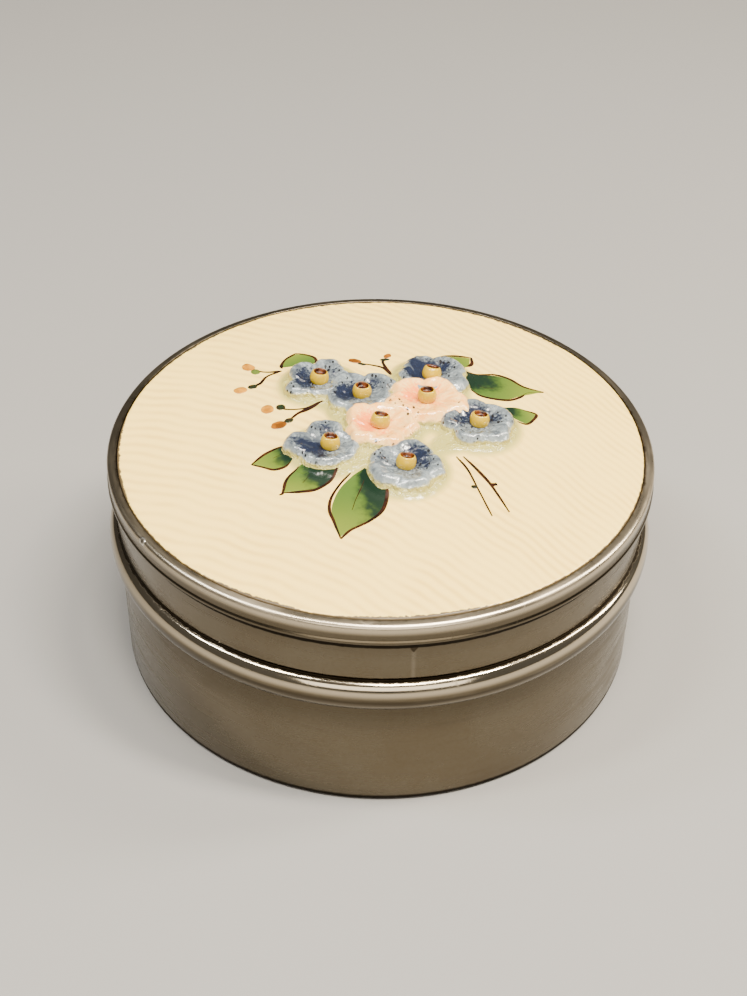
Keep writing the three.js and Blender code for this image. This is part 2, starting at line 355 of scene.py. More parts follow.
def soft_step(value):
    """Eases 0 to 1 with no corner at either end."""
    value = min(max(value, 0), 1)
    return value * value * (3 - 2 * value)


def glaze(x, y):
    """How much clear glaze lies at a place on the enamel, from 0 to 1."""
    bare = 1.0
    for name, (_, size, _, _) in FLOWERS.items():
        place = PLACES[name]
        gap = math.hypot(x - place.x, y - place.y) - FLOWER_RADIUS * size * 0.9
        bare *= 1 - soft_step(1 - gap / (3.0 * MM))
    for pool_x, pool_y, radius in POOLS:
        gap = math.hypot(x - pool_x * MM, y - pool_y * MM) - radius * MM * 0.45
        bare *= 1 - 0.8 * soft_step(1 - gap / (radius * MM * 0.6))
    return 1 - bare


def glaze_depth(x, y):
    """Depth of the clear glaze at a place, with the lumps that the kiln left in it."""
    lumps = 1 + 0.16 * noise.noise(Vector((x / MM * 0.8, y / MM * 0.8, 3.0)))
    return settings().glaze_height * glaze(x, y) ** 1.8 * lumps


def surface(x, y):
    """Height of the enamelled face at a place, glaze included."""
    edge_top = ENAMEL_HIGH[2] - settings().enamel_rise
    return edge_top + dome(math.hypot(x, y)) + glaze_depth(x, y)


def melted(first, second, blend):
    """The higher of two heights, with the crease between them filled as fired glass fills it."""
    near = max(blend - abs(first - second), 0) / blend
    return max(first, second) + near * near * blend / 4


def through(points, samples):
    """A smooth line through a few points, as evenly counted samples."""
    ends = [Vector(point) * MM for point in points]
    chain = [ends[0] * 2 - ends[1]] + ends + [ends[-1] * 2 - ends[-2]]
    line = []
    for sample in range(samples + 1):
        place = sample / samples * (len(ends) - 1)
        index = min(int(place), len(ends) - 2)
        t = place - index
        a, b, c, d = chain[index:index + 4]
        bend = (b * 2 + (c - a) * t + (a * 2 - b * 5 + c * 4 - d) * t ** 2
                + (b * 3 - a - c * 3 + d) * t ** 3) / 2
        line.append(bend)
    return line


def store(mesh, name, values):
    """Keeps one number for each vertex, for the material to read."""
    layer = mesh.attributes.new(name, "FLOAT", "POINT")
    layer.data.foreach_set("value", values)


def finished(name, bm, material, slot, *nodes):
    """Makes the piece from its mesh, hides the frame parts it stands in for, and sets what it rides on."""
    mesh = bpy.data.meshes.new(name)
    bm.to_mesh(mesh)
    bm.free()
    mesh.materials.append(material)
    piece = bpy.data.objects.new(name, mesh)
    bpy.context.scene.collection.objects.link(piece)
    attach(piece, "root")
    if nodes:
        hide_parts(*nodes)
    return piece


# Shader helpers


def fill(node, sockets):
    """Gives each named socket of a node a value or a link."""
    for name, value in sockets.items():
        if isinstance(value, bpy.types.NodeSocket):
            node.id_data.links.new(value, node.inputs[name])
        else:
            node.inputs[name].default_value = value


def put(tree, kind, sockets, **choices):
    """Adds a node, sets its choices and fills its sockets."""
    made = tree.nodes.new("ShaderNode" + kind)
    for name, value in choices.items():
        setattr(made, name, value)
    fill(made, sockets)
    return made


def maths(operation, *values):
    """One operation on sockets and numbers, in the tree of the first socket."""
    tree = next(value.id_data for value in values if isinstance(value, bpy.types.NodeSocket))
    return put(tree, "Math", dict(enumerate(values)), operation=operation).outputs[0]


def times(first, second):
    return maths("MULTIPLY", first, second)


def plus(first, second):
    return maths("ADD", first, second)


def minus(first, second):
    return maths("SUBTRACT", first, second)


def scaled(value, factor, base):
    """A value times a factor, on top of a base."""
    return maths("MULTIPLY_ADD", value, factor, base)


def between(value, low, high, to_low=0.0, to_high=1.0):
    """Eases a value from one range to another, and stops at its ends."""
    sockets = dict(enumerate((value, low, high, to_low, to_high)))
    return put(value.id_data, "MapRange", sockets, interpolation_type="SMOOTHSTEP").outputs[0]


def blended(factor, first, second):
    """A colour between two colours."""
    return put(factor.id_data, "Mix", {0: factor, 6: first, 7: second}, data_type="RGBA").outputs[2]


def spotted(vector, scale, detail=4.0, rough=0.55):
    """Cloudy noise from 0 to 1."""
    sockets = {"Vector": vector, "Scale": scale, "Detail": detail, "Roughness": rough}
    return put(vector.id_data, "TexNoise", sockets).outputs[0]


def frayed(value, noise_level, reach):
    """A value pushed up and down by noise."""
    return scaled(minus(noise_level, 0.5), reach, value)


def bump(height, strength, distance):
    sockets = {"Height": height, "Strength": strength, "Distance": distance}
    return put(height.id_data, "Bump", sockets).outputs[0]


def axes(vector):
    """The three numbers of a vector."""
    return put(vector.id_data, "SeparateXYZ", {0: vector}).outputs


def vector_of(*values):
    """A vector from two or three sockets."""
    return put(values[0].id_data, "CombineXYZ", dict(enumerate(values))).outputs[0]


def rgba(colour, value=1.0):
    return (colour[0] * value, colour[1] * value, colour[2] * value, 1.0)


def attribute(place, name):
    """A number that the mesh keeps for each vertex, in the tree of the place."""
    return put(place.id_data, "Attribute", {}, attribute_name=name).outputs["Fac"]


def material(name):
    """A new material with its shader and its object coordinates."""
    made = bpy.data.materials.new(name)
    made.use_nodes = True
    place = put(made.node_tree, "TexCoord", {}).outputs["Object"]
    return made, made.node_tree.nodes["Principled BSDF"], place


def group(name, inputs, outputs):
    """An empty node group that reads a place. Returns its input sockets and its output node."""
    tree = bpy.data.node_groups.new(name, "ShaderNodeTree")
    tree.interface.new_socket("Place", in_out="INPUT", socket_type="NodeSocketVector")
    for socket, default in inputs.items():
        made = tree.interface.new_socket(socket, in_out="INPUT", socket_type="NodeSocketFloat")
        made.default_value = default
    for socket in outputs:
        tree.interface.new_socket(socket, in_out="OUTPUT", socket_type="NodeSocketFloat")
    return tree.nodes.new("NodeGroupInput").outputs, tree.nodes.new("NodeGroupOutput")


def use_group(name, place, **sockets):
    """Adds a group that reads a place, and returns its outputs."""
    made = put(place.id_data, "Group", {}, node_tree=bpy.data.node_groups[name])
    fill(made, {"Place": place, **sockets})
    return made.outputs


def polar_group():
    """Splits a place into its distance from the box's axis, its angle and its height."""
    start, end = group("Round the axis", {}, ("Radius", "Angle", "Height"))
    x, y, z = axes(start["Place"])
    radius = put(x.id_data, "VectorMath", {0: vector_of(x, y)}, operation="LENGTH").outputs["Value"]
    fill(end, {"Radius": radius, "Angle": maths("ARCTAN2", y, x), "Height": z})


def polish_group():
    """Fine lines that polishing left round the box: a height and a mask of worn streaks."""
    start, end = group("Polishing lines", {"Around": 3.0, "Across": 9000.0}, ("Height", "Streaks", "Upright"))
    polar = use_group("Round the axis", start["Place"])
    turn_x = times(maths("COSINE", polar["Angle"]), start["Around"])
    turn_y = times(maths("SINE", polar["Angle"]), start["Around"])
    fine = times(plus(polar["Radius"], polar["Height"]), start["Across"])
    upright = vector_of(times(turn_x, 42.0), times(turn_y, 42.0), times(fine, 0.03))
    coarse = vector_of(turn_x, turn_y, times(fine, 0.12))
    fill(end, {
        "Upright": spotted(upright, 1.0, 3.0),
        "Height": spotted(vector_of(turn_x, turn_y, fine), 1.0, 3.0),
        "Streaks": between(spotted(coarse, 1.0, 4.0), 0.42, 0.72),
    })


def crease_group():
    """Dark dirt with painted shade at one height, where two pieces of silver meet or a gap casts shadow."""
    start, end = group("Dirt and painted shade in a crease", {"Level": 0.0, "Spread": 0.2 * MM}, ("Mask",))
    height = axes(start["Place"])[2]
    ragged = frayed(height, spotted(start["Place"], 900.0, 3.0), 0.25 * MM)
    share = maths("DIVIDE", maths("ABSOLUTE", minus(ragged, start["Level"])), start["Spread"])
    fill(end, {"Mask": between(share, 0.8, 1.25, 1.0, 0.0)})


def handling_group():
    """Marks of use: scattered short scratches and soft cloudy tarnish."""
    start, end = group("Marks of use", {"Size": 300.0}, ("Scratches", "Tarnish"))
    place = start["Place"]
    tree = place.id_data
    warp = put(tree, "TexNoise", {"Vector": place, "Scale": 60.0, "Detail": 2.0}).outputs[1]
    warped = put(tree, "VectorMath", {0: place, 1: warp, 2: (0.004, 0.004, 0.004)},
                 operation="MULTIPLY_ADD").outputs[0]
    squeezed = put(tree, "Mapping", {0: warped, 2: (0.4, 0.9, 0.2), 3: (0.12, 1.0, 1.0)}).outputs[0]
    lines = put(tree, "TexVoronoi", {"Vector": squeezed, "Scale": start["Size"]},
                feature="DISTANCE_TO_EDGE").outputs[0]
    picked = between(spotted(place, 240.0, 1.0), 0.56, 0.68)
    fill(end, {
        "Scratches": times(between(lines, 0.0, 0.022, 1.0, 0.0), picked),
        "Tarnish": between(spotted(place, 75.0, 5.0, 0.62), 0.38, 0.7),
    })


def mottle_group():
    """Grains and clouds of fired enamel: a broad cloud, a fine grain and small specks."""
    start, end = group("Fired enamel", {"Cloud size": 420.0}, ("Cloud", "Grain", "Specks"))
    place = start["Place"]
    tree = place.id_data
    stretched = put(tree, "Mapping", {0: place, 2: (0.0, 0.0, 0.6), 3: (1.0, 0.62, 0.8)}).outputs[0]
    cells = put(tree, "TexVoronoi", {"Vector": stretched, "Scale": 1750.0}).outputs
    reach = times(put(tree, "SeparateColor", {0: cells["Color"]}).outputs[0], 0.46)
    fill(end, {
        "Cloud": between(spotted(place, start["Cloud size"], 4.0, 0.6), 0.32, 0.68),
        "Grain": spotted(place, 2400.0, 3.0, 0.6),
        "Specks": between(minus(reach, cells["Distance"]), 0.0, 0.08),
    })


# Finishes

# Painted shade: the colour of the dark bands under the moulding and the rim, and of the painted dark
# reflection on the moulding.
PAINTED_SHADE_COLOUR = (0.045, 0.034, 0.020, 1.0)
# Rubbed wear with a painted highlight: the light colour laid on the rim's shoulder and the moulding's upper
# half.
RUBBED_AND_HIGHLIT_SILVER = (0.70, 0.60, 0.44, 1.0)
# Grime with painted shade, in the groove of the rim beside the enamel.
RIM_GRIME_AND_SHADE = (0.045, 0.03, 0.018, 1.0)
# Dirt with painted shade: the near black of the creases and gaps, and the painted contact shadow at the foot.
CREASE_DIRT_AND_SHADE = (0.012, 0.008, 0.004, 1.0)
ENAMEL_EDGE_DIRT = (0.035, 0.022, 0.012, 1.0)
BLACK_SPECK = (0.008, 0.007, 0.008, 1.0)
DARK_LEAF = (0.004, 0.015, 0.007, 1.0)
YELLOW_GREEN = (0.125, 0.165, 0.014, 1.0)
MILKY_YELLOW = (0.62, 0.46, 0.13, 1.0)
WARM_YELLOW = (0.62, 0.42, 0.002, 1.0)
DARK_BROWN = (0.018, 0.004, 0.001, 1.0)
RED_BROWN = (0.13, 0.032, 0.004, 1.0)


def near_level(level, middle, spread, share):
    """The share at one height, easing to nothing within its spread."""
    return between(maths("ABSOLUTE", minus(level, middle)), 0.0, spread, share, 0.0)


def silver_finish(name, roughness, line_height, creases, painted_shade, rubbed_and_highlit=None, satin=None):
    """Worn silver with polishing lines, scratches, thin tarnish, and dirt with painted shade in its creases.

    It is painted darker round one height, with its spread and share: painted shade under the moulding and the
    rim, and a painted dark reflection on the moulding's lower half. Between two heights it is painted
    lighter,
    most at the front: rubbed wear with a painted highlight. A height in satin makes it the lid, with its
    seam, its grime and painted groove shade beside the enamel, and a satin rim above it.
    """
    made, shader, place = material(name)
    polish = use_group("Polishing lines", place)
    marks = use_group("Marks of use", place)
    colour = settings().silver
    tarnished = (colour[0] * 0.72, colour[1] * 0.62, colour[2] * 0.44, 1.0)
    tone = blended(times(marks["Tarnish"], 0.3), rgba(colour), tarnished)
    tone = blended(between(spotted(place, 1700.0, 4.0, 0.7), 0.35, 0.7, 0.0, 0.22), tone, tarnished)
    height = scaled(polish["Height"], line_height, times(polish["Upright"], 0.15))
    height = minus(height, times(marks["Scratches"], 0.35))
    rough = scaled(polish["Streaks"], roughness * 0.5, roughness * 0.75)
    rough = scaled(marks["Tarnish"], roughness * 0.35, rough)
    rough = scaled(marks["Scratches"], 0.1, rough)
    if satin:
        line, tone = solder_seam(place, tone)
        height = plus(height, line)
    across, ahead, level = axes(place)
    ragged = scaled(polish["Streaks"], 0.45 * MM, level)
    # Painted shade: darker round one height, below the moulding and the rim, and a painted dark reflection on
    # the moulding.
    tone = blended(near_level(ragged, *painted_shade), tone, PAINTED_SHADE_COLOUR)
    # Rubbed wear with a painted highlight: lighter between two heights, most at the front and right, least at
    # the back.
    if rubbed_and_highlit:
        front_wear_and_light = scaled(across, 0.5, times(ahead, -1.0))
        share = between(front_wear_and_light, -0.02, 0.035, 0.15, 0.75)
        tone = blended(times(between(level, *rubbed_and_highlit), share), tone, RUBBED_AND_HIGHLIT_SILVER)
    if satin:
        worn = between(level, satin - 0.5 * MM, satin)
        rough = scaled(worn, 0.08, rough)
        height = scaled(times(worn, polish["Height"]), 1.2, height)
        radius = use_group("Round the axis", place)["Radius"]
        # Grime with painted groove shade on the rim next to the enamel.
        ragged = scaled(spotted(place, 900.0, 3.0, 0.7), 1.0 * MM, radius)
        grime_and_shade = between(ragged, ENAMEL_RADIUS + 0.4 * MM, ENAMEL_RADIUS + 1.0 * MM, 0.9, 0.0)
        tone = blended(times(grime_and_shade, worn), tone, RIM_GRIME_AND_SHADE)
        ring, pit = nick_marks(place)
        height = scaled(ring, 12.0, height)
        tone = blended(pit, tone, (0.03, 0.025, 0.02, 1.0))
        tone = blended(times(ring, 0.7), tone, (0.8, 0.76, 0.68, 1.0))
    # Dirt with painted shade in each crease; at the drum's foot it is a painted contact shadow.
    for middle, spread in creases:
        dirt_and_shade = use_group("Dirt and painted shade in a crease", place, Level=middle, Spread=spread)["Mask"]
        tone = blended(times(dirt_and_shade, 0.97), tone, CREASE_DIRT_AND_SHADE)
        rough = scaled(dirt_and_shade, 0.4, rough)
    fill(shader, {
        "Base Color": tone,
        "Roughness": rough,
        "Metallic": 1.0,
        "Normal": bump(height, 0.35, 0.02 * MM),
    })
    return made


def nick_marks(place):
    """The raised ring round the nick in the rim, and its dark pit."""
    off = put(place.id_data, "VectorMath", {0: place, 1: NICK}, operation="DISTANCE").outputs["Value"]
    ring = times(between(off, 0.2 * MM, 0.45 * MM), between(off, 0.5 * MM, 0.75 * MM, 1.0, 0.0))
    return ring, between(off, 0.15 * MM, 0.4 * MM, 0.85, 0.0)


def solder_seam(place, tone):
    """The upright joint in the lid's band: a faint ridge painted slightly lighter as a painted reflection,
    with a dark pit of painted shade where it meets the rim.
    """
    seam_angle = math.radians(-83.2)
    pit_low, pit_high = 28.0 * MM, 29.4 * MM
    polar = use_group("Round the axis", place)
    off = times(maths("ABSOLUTE", minus(polar["Angle"], seam_angle)), DRUM_RADIUS)
    on_band = maths("LESS_THAN", polar["Height"], LID_LOW[2] + BAND_HEIGHT)
    ridge = times(between(off, 0.05 * MM, 0.42 * MM, 1.0, 0.0), on_band)
    ragged = scaled(spotted(place, 1500.0, 2.0), 0.4 * MM, off)
    pit_width = between(polar["Height"], pit_low, pit_high, 0.1 * MM, 0.75 * MM)
    pit = times(between(minus(ragged, pit_width), -0.05 * MM, 0.05 * MM, 1.0, 0.0), on_band)
    # Painted reflection along the seam's ridge, and painted shade in its pit.
    lighter = blended(times(ridge, 0.08), tone, (0.70, 0.64, 0.54, 1.0))
    darker = blended(times(pit, 0.9), lighter, (0.03, 0.02, 0.01, 1.0))
    return times(ridge, 0.35), darker


def engine_turned_waves(place):
    """Level from 0 to 1 of the waves cut in the silver under the enamel."""
    x, y, _ = axes(place)
    x_mm = maths("DIVIDE", x, MM)
    y_mm = maths("DIVIDE", y, MM)
    bend = scaled(x_mm, 0.0000333, 0.0076)
    slope = scaled(x_mm, bend, 0.70)
    lean = scaled(x_mm, 0.62, times(y_mm, -0.22))
    shiver = times(maths("SINE", lean), 0.22)
    drift = times(spotted(place, 90.0, 3.0, 0.5), 2.6)
    level = plus(plus(scaled(x_mm, slope, y_mm), shiver), drift)
    phase = times(level, 2 * math.pi * MM / settings().wave_pitch)
    wave = scaled(maths("SINE", phase), 0.5, 0.5)
    patchy = between(spotted(place, 130.0, 2.0), 0.3, 0.7, 0.35, 1.0)
    return times(maths("POWER", wave, 1.6), patchy)


def foot_lumps(place, near_foot):
    """Small lumps of glaze that sparkle where a petal meets the ground."""
    return times(near_foot, between(spotted(place, 1150.0, 2.0), 0.42, 0.66))


def wet_gloss(wet):
    """How glossy a face is where clear glaze lies on it, and its share of coat."""
    glossy = between(wet, 0.15, 0.6)
    return glossy, scaled(glossy, 0.5, 0.12)


def enamel_finish():
    """Cream translucent enamel over waves, greener and clearer where glaze pooled."""
    made, shader, place = material("cream enamel")
    cream = settings().cream
    pooled = attribute(place, "glaze")
    seen = times(engine_turned_waves(place), between(pooled, 0.1, 0.8, 0.5, 0.08))
    ground = blended(seen, rgba(cream, 1.03), (cream[0] * 0.70, cream[1] * 0.62, cream[2] * 0.45, 1.0))
    pale = blended(between(pooled, 0.05, 0.85), ground, POOL_COLOUR)
    worn = between(spotted(place, 40.0, 2.0), 0.42, 0.60, 0.42 * MM, 1.05 * MM)
    radius = use_group("Round the axis", place)["Radius"]
    ragged = scaled(spotted(place, 1100.0, 3.0, 0.7), worn, radius)
    edge = between(ragged, ENAMEL_RADIUS + 0.02 * MM, ENAMEL_RADIUS + 0.14 * MM)
    glossy, coat = wet_gloss(pooled)
    ripples = times(spotted(place, 620.0, 2.0), pooled)
    ripples = scaled(foot_lumps(place, between(pooled, 0.7, 1.0)), 1.7, ripples)
    ripples = scaled(spotted(place, 260.0, 2.0), 0.12, ripples)
    fill(shader, {
        "Base Color": blended(times(edge, 0.95), pale, ENAMEL_EDGE_DIRT),
        "Roughness": scaled(edge, 0.3, scaled(glossy, -0.18, 0.32)),
        "Coat Weight": coat,
        "Coat Roughness": 0.05,
        "Subsurface Weight": 0.12,
        "Subsurface Radius": (0.9 * MM, 0.7 * MM, 0.4 * MM),
        "Subsurface Scale": 1.0,
        "Normal": bump(ripples, 0.5, 0.25 * MM),
    })
    return made


def petal_finish(name, body, deep, rim, grain_share):
    """Fired petal enamel: streaked body, dark dabs, milky rims, and clear glaze where it meets the ground."""
    made, shader, place = material(name)
    mottle = use_group("Fired enamel", place)
    reach = attribute(place, "reach")
    turn_x = times(attribute(place, "turn_x"), 2.6)
    turn_y = times(attribute(place, "turn_y"), 2.6)
    streaks = spotted(vector_of(turn_x, turn_y, attribute(place, "out")), 1.6, 5.0, 0.6)
    uneven = frayed(frayed(attribute(place, "dark"), streaks, 1.1), mottle["Grain"], 2.4)
    streaky = blended(between(streaks, 0.35, 0.65), body, rim)
    grainy = blended(times(between(mottle["Grain"], 0.48, 0.68), grain_share), streaky, rim)
    inner = blended(between(uneven, 0.1, 1.0), grainy, deep)
    ragged = frayed(reach, mottle["Cloud"], 0.16)
    milky = blended(between(ragged, 0.66, 0.98, 0.0, 0.7), inner, rim)
    pooled = blended(between(ragged, 0.90, 1.12), milky, POOL_COLOUR)
    specks = times(mottle["Specks"], between(attribute(place, "specky"), 0.2, 0.5))
    specks = times(specks, between(reach, 1.0, 1.1, 0.95, 0.0))
    lumps = scaled(foot_lumps(place, between(reach, 0.8, 1.05)), 3.4, times(mottle["Grain"], 0.2))
    fill(shader, {
        "Base Color": blended(specks, pooled, BLACK_SPECK),
        "Roughness": scaled(mottle["Grain"], 0.2, 0.1),
        "Coat Weight": 0.6,
        "Coat Roughness": 0.04,
        "Subsurface Weight": 0.15,
        "Subsurface Radius": (0.7 * MM, 0.6 * MM, 0.5 * MM),
        "Subsurface Scale": 1.0,
        "Normal": bump(lumps, 0.5, 0.12 * MM),
    })
    return made


def bead_finish():
    """Yellow glass bead, milky below and red-brown in its hollow."""
    made, shader, place = material("yellow bead")
    up = scaled(spotted(place, 900.0, 2.0), 0.24, minus(attribute(place, "up"), 0.12))
    hollow = attribute(place, "hollow")
    body = blended(between(up, 0.0, 0.16), MILKY_YELLOW, rgba(settings().yellow))
    streaks = spotted(place, 1500.0, 3.0)
    varied = blended(times(between(streaks, 0.5, 0.75), 0.5), body, WARM_YELLOW)
    brown = blended(between(streaks, 0.38, 0.68), DARK_BROWN, RED_BROWN)
    fill(shader, {
        "Base Color": blended(between(frayed(hollow, streaks, 0.5), 0.35, 0.6), varied, brown),
        "Roughness": scaled(hollow, 0.1, 0.16),
        "Specular IOR Level": 0.35,
        "Coat Weight": 0.1,
        "Coat Roughness": 0.05,
        "Normal": bump(streaks, 0.15, 0.05 * MM),
    })
    return made


def leaf_finish():
    """Painted leaf: dark green at the base and along its middle, yellow green at the tip."""
    made, shader, place = material("painted leaf")
    brushed = spotted(place, 700.0, 4.0, 0.6)
    wander = frayed(attribute(place, "dark"), brushed, 0.5)
    middle = times(maths("ABSOLUTE", attribute(place, "across")), 0.12)
    shade = between(minus(wander, middle), -0.14, 0.16)
    light = blended(between(attribute(place, "along"), 0.35, 1.0), rgba(settings().leaf), YELLOW_GREEN)
    wet = attribute(place, "wet")
    glossy, coat = wet_gloss(wet)
    ripples = scaled(brushed, 0.1, times(spotted(place, 620.0, 2.0), wet))
    fill(shader, {
        "Base Color": blended(shade, light, DARK_LEAF),
        "Roughness": scaled(brushed, 0.1, scaled(glossy, -0.15, 0.3)),
        "Coat Weight": coat,
        "Coat Roughness": 0.05,
        "Normal": bump(ripples, 0.5, 0.25 * MM),
    })
    return made


def paint_finish(name, first, second, size):
    """Glossy paint between two colours, uneven as a brush leaves it."""
    made, shader, place = material(name)
    uneven = spotted(place, size, 3.0)
    fill(shader, {
        "Base Color": blended(between(uneven, 0.35, 0.65), first + (1.0,), second + (1.0,)),
        "Roughness": scaled(uneven, 0.15, 0.15),
        "Coat Weight": 0.5,
        "Coat Roughness": 0.06,
        "Normal": bump(uneven, 0.1, 0.03 * MM),
    })
    return made


# Silver pieces


class TABLEBOX_OT_drum(bpy.types.Operator):
    """Makes the drum: its wall, flat bottom and the collar inside its mouth"""

    bl_idname = "tablebox.drum"
    bl_label = "Drum"

    def execute(self, context):
        sizes = settings()
        inner = DRUM_RADIUS - sizes.wall
        mouth = LID_LOW[2] - SEAM_GAP
        collar_outer = inner - COLLAR_CLEARANCE
        collar_inner = collar_outer - COLLAR_WALL
        collar_bottom = mouth - COLLAR_DEPTH
        profile = rounded([
            (0, 0, 0),
            (DRUM_RADIUS - 1.2 * MM, 0, 0),
            (DRUM_RADIUS, 0, 0.6 * MM),
            (DRUM_RADIUS, mouth, 0.2 * MM),
            (collar_outer, mouth, 0),
            (collar_outer, COLLAR_TOP, 0.22 * MM),
            (collar_inner, COLLAR_TOP, 0.22 * MM),
            (collar_inner, collar_bottom, 0.1 * MM),
            (inner, collar_bottom - (inner - collar_inner), 0.1 * MM),
            (inner, sizes.bottom, 0.5 * MM),
            (0, sizes.bottom, 0),
        ])
        bm = spun(profile, sizes.turn_steps)
        smooth_shaded(bm)
        # Dirt with painted shade above and under the moulding, the painted contact shadow at the foot, and
        # painted shade on the wall below the moulding.
        finish = silver_finish("drum silver", 0.27, 0.22, (
            (MOULDING_HIGH[2] + 0.25 * MM, 0.34 * MM),
            (MOULDING_LOW[2] - 0.08 * MM, 0.24 * MM),
            (-0.1 * MM, 1.0 * MM),
        ), (MOULDING_LOW[2], 7.0 * MM, 0.5))
        finished("drum_silver", bm, finish, "silver", "box_base")
        return {"FINISHED"}


class TABLEBOX_OT_moulding(bpy.types.Operator):
    """Makes the half-round wire moulding under the drum's mouth"""

    bl_idname = "tablebox.moulding"
    bl_label = "Mouth moulding"

    def execute(self, context):
        half = (MOULDING_HIGH[2] - MOULDING_LOW[2]) / 2
        centre = (MOULDING_HIGH[2] + MOULDING_LOW[2]) / 2
        proud = MOULDING_HIGH[0] - DRUM_RADIUS
        arc_steps = 28
        profile = [(DRUM_RADIUS, centre - half)]
        for step in range(1, arc_steps):
            angle = math.pi * step / arc_steps - math.pi / 2
            profile.append((DRUM_RADIUS + proud * math.cos(angle), centre + half * math.sin(angle)))
        profile.append((DRUM_RADIUS, centre + half))
        bm = spun(profile, settings().turn_steps, closed=True)
        smooth_shaded(bm, 60)
        # Dirt with painted shade at the moulding's top; a painted dark reflection on its lower half, and
        # rubbed wear with a painted highlight on its upper half.
        creases = ((MOULDING_HIGH[2] + 0.05 * MM, 0.09 * MM),)
        finish = silver_finish("moulding silver", 0.12, 0.5, creases, (centre - 0.35 * MM, 0.9 * MM, 0.85),
                               (centre + 0.2 * MM, centre + 1.1 * MM))
        finished("moulding_silver", bm, finish, "silver", "mouth_moulding")
        return {"FINISHED"}


class TABLEBOX_OT_lid(bpy.types.Operator):
    """Makes the lid: its band, top plate and overhanging rounded rim"""

    bl_idname = "tablebox.lid"
    bl_label = "Lid"

    def execute(self, context):
        sizes = settings()
        inner = DRUM_RADIUS - sizes.wall
        edge_top = ENAMEL_HIGH[2] - sizes.enamel_rise
        rim_top = edge_top - ENAMEL_GAP
        rim_low = rim_top - RIM_HEIGHT
        bed = ENAMEL_LOW[2]
        recess = ENAMEL_RADIUS + ENAMEL_GAP
        rings = [ENAMEL_RADIUS * step / DOME_RINGS for step in range(DOME_RINGS + 1)]
        under = [(radius * inner / ENAMEL_RADIUS, bed - LID_PLATE + dome(radius), 0) for radius in rings]
        top = [(radius, bed + dome(radius), 0) for radius in reversed(rings)]
        profile = rounded(under + [
            (inner, LID_LOW[2], 0.15 * MM),
            (DRUM_RADIUS, LID_LOW[2], 0.35 * MM),
            (DRUM_RADIUS, rim_low + 0.3 * MM, 0.12 * MM),
            (RIM_RADIUS - 0.25 * MM, rim_low + 0.05 * MM, 0),
            (RIM_RADIUS - 0.02 * MM, rim_low, 0.12 * MM),
            (RIM_RADIUS, rim_low + 0.42 * MM, 0.2 * MM),
            (RIM_RADIUS - 0.22 * MM, rim_low + 0.7 * MM, 0.3 * MM),
            (RIM_RADIUS - 0.10 * MM, rim_top - 0.08 * MM, 1.25 * MM),
            (recess + 0.12 * MM, rim_top, 0.1 * MM),
            (recess, bed, 0),
        ] + top)
        bm = spun(profile, sizes.turn_steps)
        self.nick(bm)
        smooth_shaded(bm)
        # Dirt with painted shade at the lid's lower edge, painted shadow under the rim's overhang, painted
        # shade on the band below the rim, and rubbed wear with a painted highlight on the rim's shoulder.
        creases = ((LID_LOW[2] - 0.05 * MM, 0.16 * MM), (rim_low - 0.8 * MM, 0.46 * MM))
        rubbed_and_highlit = (rim_low + 1.3 * MM, rim_low + 2.4 * MM)
        painted_shade = (rim_low, 4.0 * MM, 0.35)
        finish = silver_finish("lid silver", 0.24, 0.7, creases, painted_shade, rubbed_and_highlit, rim_top - 0.3 * MM)
        finished("lid_silver", bm, finish, "silver", "lid")
        return {"FINISHED"}

    def nick(self, bm):
        """Presses the small dent into the rim's shoulder at the left."""
        for vert in bm.verts:
            near = soft_step(1 - (vert.co - NICK).length / (1.1 * MM))
            vert.co.xy -= vert.co.xy.normalized() * near * 0.12 * MM


# Enamel pieces


class TABLEBOX_OT_enamel(bpy.types.Operator):
    """Makes the domed cream enamel with the glaze that pooled round the flowers"""

    bl_idname = "tablebox.enamel"
    bl_label = "Enamel top"

    def execute(self, context):
        edge_top = ENAMEL_HIGH[2] - settings().enamel_rise
        ring_count = 150
        fillet = 0.3 * MM
        flat_radius = ENAMEL_RADIUS - fillet
        rings = [flat_radius * step / ring_count for step in range(ring_count + 1)]
        under = [(ENAMEL_RADIUS * step / DOME_RINGS, ENAMEL_LOW[2] + dome(ENAMEL_RADIUS * step / DOME_RINGS))
                 for step in range(DOME_RINGS + 1)]
        shoulder = []
        for step in range(6):
            angle = math.pi / 2 * step / 6
            height = edge_top - fillet + fillet * math.sin(angle)
            shoulder.append((flat_radius + fillet * math.cos(angle), height))
        top = [(radius, edge_top + dome(radius)) for radius in reversed(rings)]
        bm = spun(under + shoulder + top, 224)
        for vert in bm.verts:
            radius = math.hypot(vert.co.x, vert.co.y)
            if vert.co.z > edge_top + dome(radius) - 0.1 * MM and radius < flat_radius:
                vert.co.z = surface(vert.co.x, vert.co.y)
        smooth_shaded(bm)
        piece = finished("enamel_ground", bm, enamel_finish(), "cream_enamel", "enamel_top")
        store(piece.data, "glaze", [glaze(vert.co.x, vert.co.y) for vert in piece.data.vertices])
        return {"FINISHED"}


